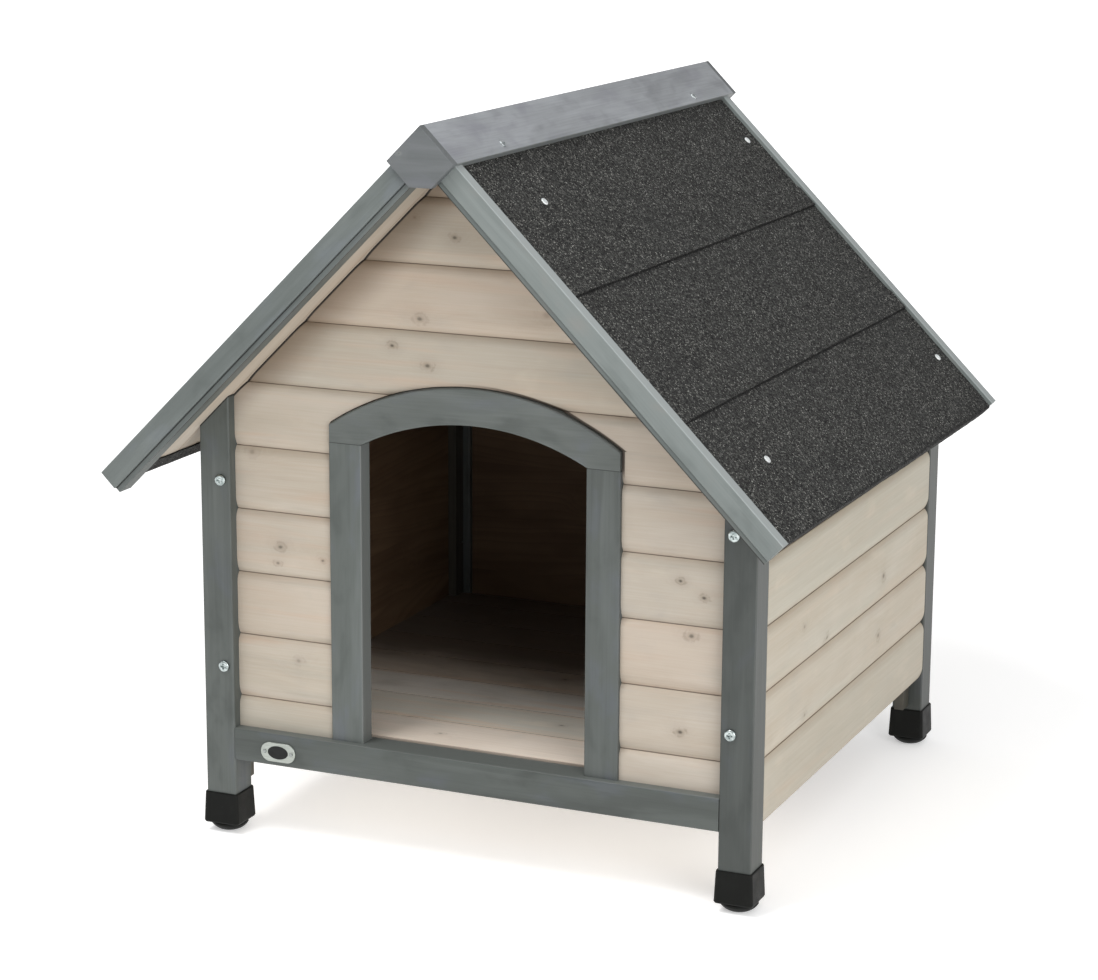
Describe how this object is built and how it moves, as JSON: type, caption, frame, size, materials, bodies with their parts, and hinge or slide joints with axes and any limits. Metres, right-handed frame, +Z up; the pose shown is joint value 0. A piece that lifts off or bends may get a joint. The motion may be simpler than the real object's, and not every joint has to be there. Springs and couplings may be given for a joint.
{
  "type": "dog house",
  "caption": "Wooden dog house with a steep felt-covered saddle roof, an arched open doorway, lapped board walls and corner posts on screw-adjustable feet.",
  "frame": {"origin": "on the ground, under the middle of the roof's width and length", "axes": "+Z up, doorway towards -Y, +X to the right when facing the doorway from outside"},
  "size_m": [0.71, 0.75, 0.7547],
  "materials": {
    "grey_wood": "grey glaze over visible grain, satin",
    "beige_wood": "thin pale beige glaze over visible grain and knots, matt",
    "bare_wood": "planed, unpainted",
    "roofing_felt": "mineral granules on bitumen felt, rough",
    "zinc_steel": "bright zinc plating",
    "plate_metal": "bare brushed plate with a dark field and no lettering",
    "black_plastic": "moulded, faint sheen"
  },
  "bodies": {
    "house": {"back_base_rail": "grey_wood", "back_boards": "beige_wood", "back_gable_battens": "bare_wood", "back_gable_boards": "beige_wood", "door_arch": "grey_wood", "door_jamb_left": "grey_wood", "door_jamb_right": "grey_wood", "felt_lower_left": "roofing_felt", "felt_lower_right": "roofing_felt", "felt_middle_left": "roofing_felt", "felt_middle_right": "roofing_felt", "felt_upper_left": "roofing_felt", "felt_upper_right": "roofing_felt", "floor_bearers": "bare_wood", "floor_boards": "beige_wood", "foot_cap_back_left": "black_plastic", "foot_cap_back_right": "black_plastic", "foot_cap_front_left": "black_plastic", "foot_cap_front_right": "black_plastic", "front_base_rail": "grey_wood", "front_boards_left": "beige_wood", "front_boards_right": "beige_wood", "front_gable_battens": "bare_wood", "front_gable_boards": "beige_wood", "left_wall_batten_back": "grey_wood", "left_wall_batten_front": "grey_wood", "left_wall_boards": "beige_wood", "name_plate": "plate_metal", "plate_rivets": "zinc_steel", "post_back_left": "grey_wood", "post_back_right": "grey_wood", "post_front_left": "grey_wood", "post_front_right": "grey_wood", "post_screws": "zinc_steel", "ridge_cap_left": "grey_wood", "ridge_cap_right": "grey_wood", "ridge_end_back": "grey_wood", "ridge_end_front": "grey_wood", "ridge_screws": "zinc_steel", "right_wall_batten_back": "grey_wood", "right_wall_batten_front": "grey_wood", "right_wall_boards": "beige_wood", "roof_battens_left": "bare_wood", "roof_battens_right": "bare_wood", "roof_boards_left": "beige_wood", "roof_boards_right": "beige_wood", "roof_screws": "zinc_steel", "verge_back_left": "grey_wood", "verge_back_right": "grey_wood", "verge_front_left": "grey_wood", "verge_front_right": "grey_wood", "verge_strip_back_left": "grey_wood", "verge_strip_back_right": "grey_wood", "verge_strip_front_left": "grey_wood", "verge_strip_front_right": "grey_wood"},
    "foot_glide_back_left": {"foot_glide_back_left": "black_plastic"},
    "foot_glide_back_right": {"foot_glide_back_right": "black_plastic"},
    "foot_glide_front_left": {"foot_glide_front_left": "black_plastic"},
    "foot_glide_front_right": {"foot_glide_front_right": "black_plastic"}
  },
  "joints": [
    {"name": "screw_foot_glide_back_left", "type": "slide", "parent": "house", "child": "foot_glide_back_left", "axis": [0, 0, -1], "range_m": [0, 0.012]},
    {"name": "screw_foot_glide_back_right", "type": "slide", "parent": "house", "child": "foot_glide_back_right", "axis": [0, 0, -1], "range_m": [0, 0.012]},
    {"name": "screw_foot_glide_front_left", "type": "slide", "parent": "house", "child": "foot_glide_front_left", "axis": [0, 0, -1], "range_m": [0, 0.012]},
    {"name": "screw_foot_glide_front_right", "type": "slide", "parent": "house", "child": "foot_glide_front_right", "axis": [0, 0, -1], "range_m": [0, 0.012]}
  ]
}
